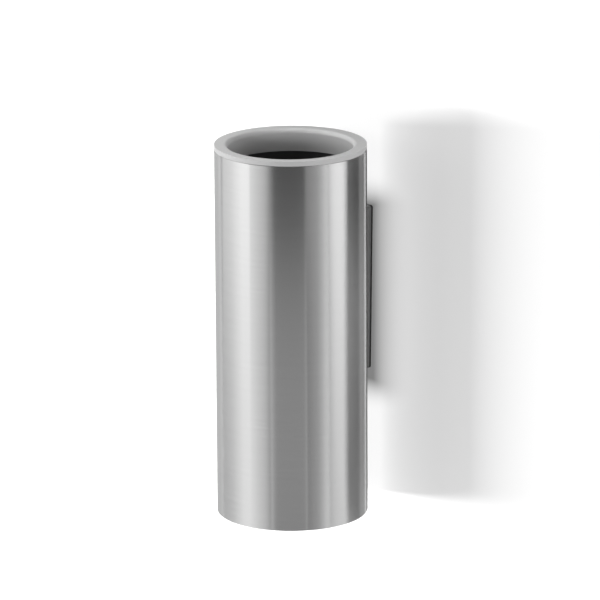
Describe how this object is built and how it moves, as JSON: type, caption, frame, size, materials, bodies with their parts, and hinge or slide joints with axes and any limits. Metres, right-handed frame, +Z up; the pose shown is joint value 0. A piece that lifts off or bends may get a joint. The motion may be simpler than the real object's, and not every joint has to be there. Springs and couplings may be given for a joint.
{
  "type": "umbrella stand",
  "caption": "Wall-hung umbrella stand: a brushed steel tube on a lift-off wedge bracket, with a grey collar, a lift-out black liner and a drip mat.",
  "frame": {"origin": "centre of the bracket's back face, where it lies on the wall", "axes": "+Z up along the tube, +Y into the wall, +X to the right of someone who faces the wall"},
  "size_m": [0.16, 0.175, 0.4],
  "materials": {
    "brushed_tube": "brushed round the tube, satin",
    "bracket_steel": "plain mill finish, satin",
    "zinc_fixings": "bright zinc plate",
    "cast_aluminium": "as cast, matte",
    "collar_plastic": "satin moulded",
    "liner_plastic": "fine moulded texture",
    "black_rubber": "matte",
    "mat_rubber": "matte, ribbed"
  },
  "bodies": {
    "wall_holder": {"wall_pad": "black_rubber", "wall_channel": "bracket_steel", "stop_buffer": "black_rubber"},
    "stand": {"outer_tube": "brushed_tube", "base_plate": "bracket_steel", "saddle": "cast_aluminium", "hanger_plate": "bracket_steel", "hanger_nuts": "zinc_fixings", "hanger_screws": "zinc_fixings", "radius_washers": "zinc_fixings"},
    "insert": {"collar": "collar_plastic", "grip_ring": "black_rubber", "liner": "liner_plastic", "collar_screws": "zinc_fixings"},
    "mat": {"drip_mat": "mat_rubber"}
  },
  "joints": [
    {"name": "stand_lift", "type": "slide", "parent": "wall_holder", "child": "stand", "axis": [0, 0, 1], "range_m": [0, 0.19]},
    {"name": "insert_lift", "type": "slide", "parent": "stand", "child": "insert", "axis": [0, 0, 1], "range_m": [0, 0.4]},
    {"name": "mat_lift", "type": "slide", "parent": "insert", "child": "mat", "axis": [0, 0, 1], "range_m": [0, 0.4]}
  ]
}
